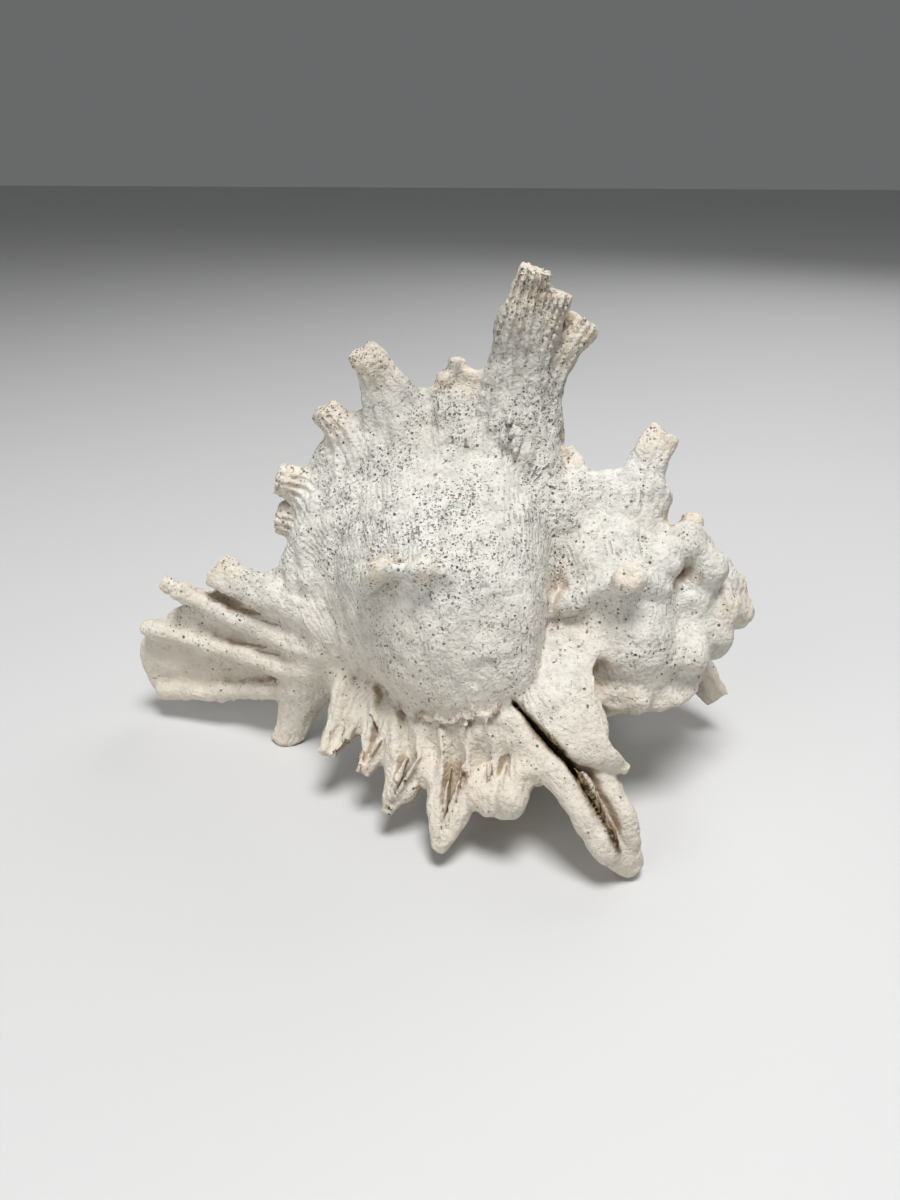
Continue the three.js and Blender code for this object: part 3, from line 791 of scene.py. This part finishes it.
def field_blocks(low, shape):
    """The field over a grid: coarse in blocks first, then each voxel of the blocks near the surface."""
    blocks = -(-np.array(shape) // BLOCK)
    corner = cell_corners(blocks) * BLOCK
    middle = low + (corner + (BLOCK - 1) / 2) * VOXEL
    rough = shell_field((middle - APEX) @ AXES.T)[0]
    values = np.repeat(np.sign(rough).astype(np.float32) * BAND, BLOCK ** 3).reshape(-1, *[BLOCK] * 3)
    near = np.flatnonzero(np.abs(rough) < BLOCK * VOXEL * HALF_DIAGONAL + BLEND_REACH)
    inner = cell_corners([BLOCK] * 3)
    for part in np.array_split(near, 1 + len(near) // BLOCKS_AT_ONCE):
        voxels = (corner[part][:, None] + inner).reshape(-1, 3)
        fine = shell_field((low + voxels * VOXEL - APEX) @ AXES.T)[0]
        values[part] = np.clip(fine, -BAND, BAND).reshape(-1, *[BLOCK] * 3)
    grid = values.reshape(*blocks, *[BLOCK] * 3).transpose(0, 3, 1, 4, 2, 5)
    return np.ascontiguousarray(grid.reshape(blocks * BLOCK))


def largest_body(points, quads):
    """The largest connected body of a mesh, without specks and inner walls."""
    label = np.arange(len(points))
    while True:
        least = label[quads].min(1)
        new = label.copy()
        for k in range(4):
            np.minimum.at(new, quads[:, k], least)
        new = new[new]
        if np.array_equal(new, label):
            break
        label = new
    kept = label == np.bincount(label).argmax()
    order = np.cumsum(kept) - 1
    return points[kept], order[quads[kept[quads[:, 0]]]]


def mesh_of(name, points, faces):
    mesh = bpy.data.meshes.new(name)
    mesh.from_pydata(points.tolist(), [], faces.tolist())
    mesh.polygons.foreach_set("use_smooth", np.ones(len(faces), bool))
    mesh.update()
    return mesh


def points_of(mesh):
    flat = np.empty(len(mesh.vertices) * 3)
    mesh.vertices.foreach_get("co", flat)
    return flat.reshape(-1, 3)


def normals_of(mesh):
    flat = np.empty(len(mesh.vertices) * 3, np.float32)
    mesh.vertex_normals.foreach_get("vector", flat)
    return flat.reshape(-1, 3).astype(float)


def relief(p, across, tips):
    """Height of the fine relief: cords along the whorl, worn lumps and grain."""
    def bumps(height, size, seed):
        return height * lattice_noise(p, size, seed)

    run = across * PROFILE_LENGTH + bumps(*CORD_WANDER)
    cords = sum(height * np.cos(2 * math.pi * run / pitch) for height, pitch in CORDS)
    patches = CORD_PATCHES[0] + bumps(*CORD_PATCHES)
    lumps = sum(bumps(*lump) for lump in LUMPS)
    return cords * patches + lumps * (1 + TIP_LUMPS * tips) + bumps(*GRAIN)


def shell_piece():
    """The shell as one mesh, with the marks that its material reads."""
    low, high = (np.array(corner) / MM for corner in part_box("shell"))
    low, high = low - 2 * VOXEL, high + 2 * VOXEL
    low[2] = -2.5 * VOXEL
    values = field_blocks(low, np.ceil((high - low) / VOXEL).astype(int))
    grid = openvdb.FloatGrid(BAND)
    grid.copyFromArray(values)
    points, quads = grid.convertToQuads(0.0)
    points, quads = largest_body(low + np.asarray(points, float) * VOXEL, np.asarray(quads, np.int64))
    mesh = mesh_of("raw", points, quads)
    normals = normals_of(mesh)
    shell = (points - APEX) @ AXES.T
    _, across, tips, _, _, inner = shell_field(shell)
    rise = smoothstep(points[:, 2], 0, RELIEF_RISE)
    lift = relief(shell, across, tips) * (1 - LINING_SMOOTH * inner) * rise
    lifted = points + normals * lift[:, None]
    lifted[:, 2] = np.maximum(lifted[:, 2], 0)
    mesh.vertices.foreach_set("co", lifted.ravel())
    raw = bpy.data.objects.new("raw", mesh)
    bpy.context.collection.objects.link(raw)
    thin = raw.modifiers.new("thin", "DECIMATE")
    thin.ratio = min(1, TRIANGLES / (2 * len(quads)))
    final = bpy.data.meshes.new_from_object(raw.evaluated_get(bpy.context.evaluated_depsgraph_get()))
    bpy.data.objects.remove(raw)
    points, normals = points_of(final), normals_of(final)
    shell = (points - APEX) @ AXES.T
    _, across, tips, slot, edge, inner = shell_field(shell)
    # How enclosed each point is, which the material uses for the stain and painted shade in the recesses.
    hollow = np.zeros(len(points))
    for reach in HOLLOW_REACHES:
        clear = shell_field(shell + normals @ AXES.T * reach)[0] / reach
        hollow += np.clip(1 - clear, 0, 1) / len(HOLLOW_REACHES)
    ends = np.empty(2 * len(final.edges), np.int64)
    final.edges.foreach_get("vertices", ends)
    ends = ends.reshape(-1, 2)
    jump = np.abs(np.diff(across[ends], axis=1)[:, 0]) * PROFILE_LENGTH > SEAM_JUMP
    seam = np.zeros(len(points))
    seam[ends[jump].ravel()] = 1
    marks = {
        "seam": seam, "across": across * PROFILE_LENGTH, "tips": tips, "slot": slot, "edge": edge,
        "hollow": hollow, "inner": inner,
    }
    for name, values in marks.items():
        final.attributes.new(name, "FLOAT", "POINT").data.foreach_set("value", values.astype(np.float32))
    final.vertices.foreach_set("co", (points * MM).ravel())
    final.update()
    piece = bpy.data.objects.new("murex_shell", final)
    bpy.context.collection.objects.link(piece)
    return piece


class Nodes:
    """Short ways to add and join the nodes of a material."""

    def __init__(self, name):
        self.material = bpy.data.materials.new(name)
        self.material.use_nodes = True
        self.tree = self.material.node_tree
        self.shader = self.tree.nodes["Principled BSDF"]

    def add(self, kind, inputs=(), **settings):
        node = self.tree.nodes.new("ShaderNode" + kind)
        for name, value in settings.items():
            setattr(node, name, value)
        for name, value in dict(inputs).items():
            self.feed(node.inputs[name], value)
        return node

    def feed(self, socket, value):
        if isinstance(value, bpy.types.NodeSocket):
            self.tree.links.new(value, socket)
        else:
            socket.default_value = value

    def value(self, name):
        return self.add("Attribute", attribute_name=name).outputs["Fac"]

    def math(self, operation, a, b=0.0):
        return self.add("Math", {0: a, 1: b}, operation=operation).outputs[0]

    def times(self, a, b):
        return self.math("MULTIPLY", a, b)

    def most(self, a, b):
        return self.math("MAXIMUM", a, b)

    def ramp(self, value, low, high, to_low=0.0, to_high=1.0):
        limits = {"From Min": low, "From Max": high, "To Min": to_low, "To Max": to_high}
        node = self.add("MapRange", {"Value": value, **limits}, interpolation_type="SMOOTHSTEP")
        return node.outputs["Result"]

    def mix(self, share, a, b):
        node = self.add("Mix", data_type="RGBA")
        self.feed(node.inputs[0], share)
        for socket, value in ((node.inputs[6], a), (node.inputs[7], b)):
            self.feed(socket, value if isinstance(value, bpy.types.NodeSocket) else (*value, 1))
        return node.outputs[2]

    def noise(self, place, scale, detail=3.0, rough=0.55):
        inputs = {"Vector": place, "Scale": scale, "Detail": detail, "Roughness": rough}
        return self.add("TexNoise", inputs).outputs["Fac"]


def shell_material():
    """Weathered chalk with ochre tips and dark pits, most of them high up, and painted shade: grey over the
    upper parts, near black in the slot, and ochre and brown in the recesses, partly as stain.
    """
    n = Nodes("weathered_shell")
    place = n.add("TexCoord").outputs["Object"]
    tips, hollow, slot, edge, across, seam, inner = (
        n.value(name) for name in ("tips", "hollow", "slot", "edge", "across", "seam", "inner"))
    parts = n.add("SeparateXYZ", {0: place})
    height = parts.outputs["Z"]
    broad = n.noise(place, BROAD_SCALE, 4)
    fine = n.noise(place, FINE_SCALE, 4)
    grain = n.noise(place, GRAIN_SCALE, 2)

    chalk = n.mix(n.ramp(broad, 0.3, 0.7), CHALK, DULL_CHALK)
    chalk = n.mix(n.ramp(fine, 0.42, 0.7, 0, 0.55), chalk, GREY_CHALK)
    chalk = n.mix(n.ramp(grain, 0.5, 0.68, 0, 0.5), chalk, GREY_GRAIN)
    # Painted shade: greyer with height, over the tall spine and the top of the body.
    chalk = n.mix(n.ramp(height, *UPPER_SHADE_HEIGHTS, 0, 0.6), chalk, UPPER_PAINTED_SHADE)

    wander = n.times(n.noise(place, WANDER_SCALE, 2), STRIA_WANDER)
    stria = n.math("SINE", n.times(n.math("ADD", across, wander), 2 * math.pi / STRIA_PITCH))
    patches = n.ramp(n.noise(place, PATCH_SCALE, 3), 0.42, 0.62, 0.25, 1)
    stria = n.times(stria, n.times(patches, n.ramp(seam, 0.3, 0)))
    lines = n.times(n.ramp(stria, 0.35, 1), n.ramp(n.noise(place, LINE_SCALE, 2), 0.45, 0.7))
    chalk = n.mix(n.times(lines, 0.22), chalk, STRIA_COLOUR)

    # The recesses are painted ochre and then brown by how enclosed they are: partly stain, partly painted
    # shade where shade falls in them.
    recess = n.times(n.ramp(hollow, 0.3, 0.8), n.ramp(broad, 0.2, 0.6, 0.5, 1))
    stained_tips = n.times(n.ramp(tips, 0.2, 1), n.ramp(fine, 0.3, 0.6, 0.2, 0.75))
    warm = n.most(stained_tips, n.times(recess, 0.75))
    # Warmer, ochre tone towards the floor.
    low = n.times(n.ramp(height, *OCHRE_HEIGHTS), 0.5)
    colour = n.mix(n.most(warm, low), chalk, OCHRE)
    colour = n.mix(n.ramp(hollow, 0.48, 0.85, 0, 0.75), colour, RECESS_STAIN_AND_SHADE)
    colour = n.mix(n.times(edge, n.ramp(fine, 0.45, 0.62, 0, 0.6)), colour, EDGE_BROWN)

    blotches = n.ramp(n.noise(place, SMUDGE_SCALE, 4, 0.7), 0.55, 0.72)
    smudges = n.times(blotches, n.ramp(height, *SMUDGE_HEIGHTS, 0.1, 0.5))
    colour = n.mix(smudges, colour, SMUDGE_GREY)
    pitted = n.ramp(n.noise(place, PITTED_SCALE, 3), 0.42, 0.6, 0.12, 1)
    zone = n.times(n.ramp(height, *PIT_HEIGHTS, 0.1, 1), pitted)
    zone = n.times(zone, n.ramp(parts.outputs["X"], *SPIRE_PLACES, 1, 0.4))
    shake = n.add("TexNoise", {"Vector": place, "Scale": SHAKE_SCALE}).outputs["Color"]
    shake = n.add("VectorMath", {0: shake, "Scale": SHAKE}, operation="SCALE").outputs[0]
    shaken = n.add("VectorMath", {0: place, 1: shake}, operation="ADD").outputs[0]
    pits = pit_mask(n, shaken, n.times(zone, 0.6), *PITS)
    fine_pits = pit_mask(n, shaken, zone, *FINE_PITS)
    pores = pit_mask(n, shaken, n.times(zone, 0.8), *PORES)
    streaks = n.times(n.ramp(stria, 0.3, 0.7), n.ramp(n.noise(place, STREAK_SCALE, 3), 0.56, 0.64))
    dark = n.most(
        n.most(pits, n.times(pores, 0.8)),
        n.most(n.times(fine_pits, 0.85), n.times(n.times(streaks, zone), 0.55)))
    colour = n.mix(n.times(dark, 0.95), colour, PIT_BLACK)
    spots = pit_mask(n, place, n.times(broad, 0.1), *SPOTS)
    colour = n.mix(spots, colour, SPOT_RED)
    # Painted shade: the slot is painted near black, mottled with dark brown.
    slot_shade = n.mix(n.ramp(n.noise(place, SLOT_SHADE_SCALE, 2), 0.4, 0.6), SLOT_DARK, SLOT_LIGHT)
    colour = n.mix(slot, colour, slot_shade)
    lining = n.mix(n.ramp(broad, 0.35, 0.65), LINING_CREAM, LINING_TAN)
    colour = n.mix(n.times(inner, 0.85), colour, lining)

    n.feed(n.shader.inputs["Base Color"], colour)
    rough = n.math("SUBTRACT", n.ramp(fine, 0.3, 0.7, 0.78, 0.95), n.times(inner, 0.4))
    n.feed(n.shader.inputs["Roughness"], rough)
    n.shader.inputs["Specular IOR Level"].default_value = SPECULAR
    surface = n.math("ADD", n.times(grain, 0.24), n.times(fine, 0.3))
    surface = n.math("ADD", surface, n.times(stria, 0.03))
    surface = n.math("SUBTRACT", surface, n.times(dark, 0.7))
    bump = n.add("Bump", {"Height": surface, "Strength": 1.0, "Distance": BUMP_HEIGHT})
    n.feed(n.shader.inputs["Normal"], bump.outputs["Normal"])
    return n.material


def pit_mask(n, place, zone, scale, least, most):
    """Small round pits, kept in some of the cells only, more of them where the zone is high."""
    cells = n.add("TexVoronoi", {"Vector": place, "Scale": scale, "Randomness": 1.0}, feature="F1")
    chance = n.add("SeparateColor", {0: cells.outputs["Color"]})
    kept = n.math("LESS_THAN", chance.outputs[0], zone)
    radius = n.ramp(chance.outputs[1], 0, 1, least, most)
    edge = n.math("SUBTRACT", radius, cells.outputs["Distance"])
    depth = n.times(kept, n.ramp(chance.outputs[2], 0, 1, 0.45, 1))
    return n.times(depth, n.ramp(edge, 0, PIT_EDGE))


def floor_material():
    n = Nodes("pale_floor")
    place = n.add("TexCoord").outputs["Object"]
    n.feed(n.shader.inputs["Base Color"], n.mix(n.noise(place, FLOOR_SCALE), *FLOOR_COLOURS))
    n.shader.inputs["Roughness"].default_value = FLOOR_ROUGHNESS
    return n.material


def floor_piece():
    half = FLOOR_HALF
    corners = np.array([(-half, -half, 0), (half, -half, 0), (half, half, 0), (-half, half, 0)], float)
    floor = bpy.data.objects.new("floor", mesh_of("floor", corners, np.array([(0, 1, 2, 3)])))
    bpy.context.collection.objects.link(floor)
    floor.data.materials.append(floor_material())
    return floor


def area_light(name, place, size, power):
    light = bpy.data.lights.new(name, "AREA")
    light.shape = "DISK"
    light.size = size
    light.energy = power
    lamp = bpy.data.objects.new(name, light)
    lamp.location = place
    lamp.rotation_euler = (Vector(LIGHTS_AIM) - Vector(place)).to_track_quat("-Z", "Y").to_euler()
    bpy.context.collection.objects.link(lamp)


def photo_camera():
    camera = bpy.data.cameras.new("camera")
    camera.lens = CAMERA_LENS
    camera.sensor_width = CAMERA_SENSOR
    holder = bpy.data.objects.new("camera", camera)
    holder.location = CAMERA_PLACE
    holder.rotation_euler = Vector(CAMERA_FORWARD).to_track_quat("-Z", "Y").to_euler()
    camera.clip_start = CAMERA_NEAR
    bpy.context.collection.objects.link(holder)
    bpy.context.scene.camera = holder


piece = shell_piece()
piece.data.materials.append(shell_material())
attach(piece, "root")
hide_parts("shell")
floor = floor_piece()

world = bpy.data.worlds.new("studio")
world.use_nodes = True
backdrop = world.node_tree.nodes["Background"]
backdrop.inputs["Color"].default_value = WORLD_COLOUR
backdrop.inputs["Strength"].default_value = WORLD_STRENGTH
bpy.context.scene.world = world
bpy.context.scene.view_settings.view_transform = "Standard"
for light in LIGHTS:
    area_light(*light)
photo_camera()
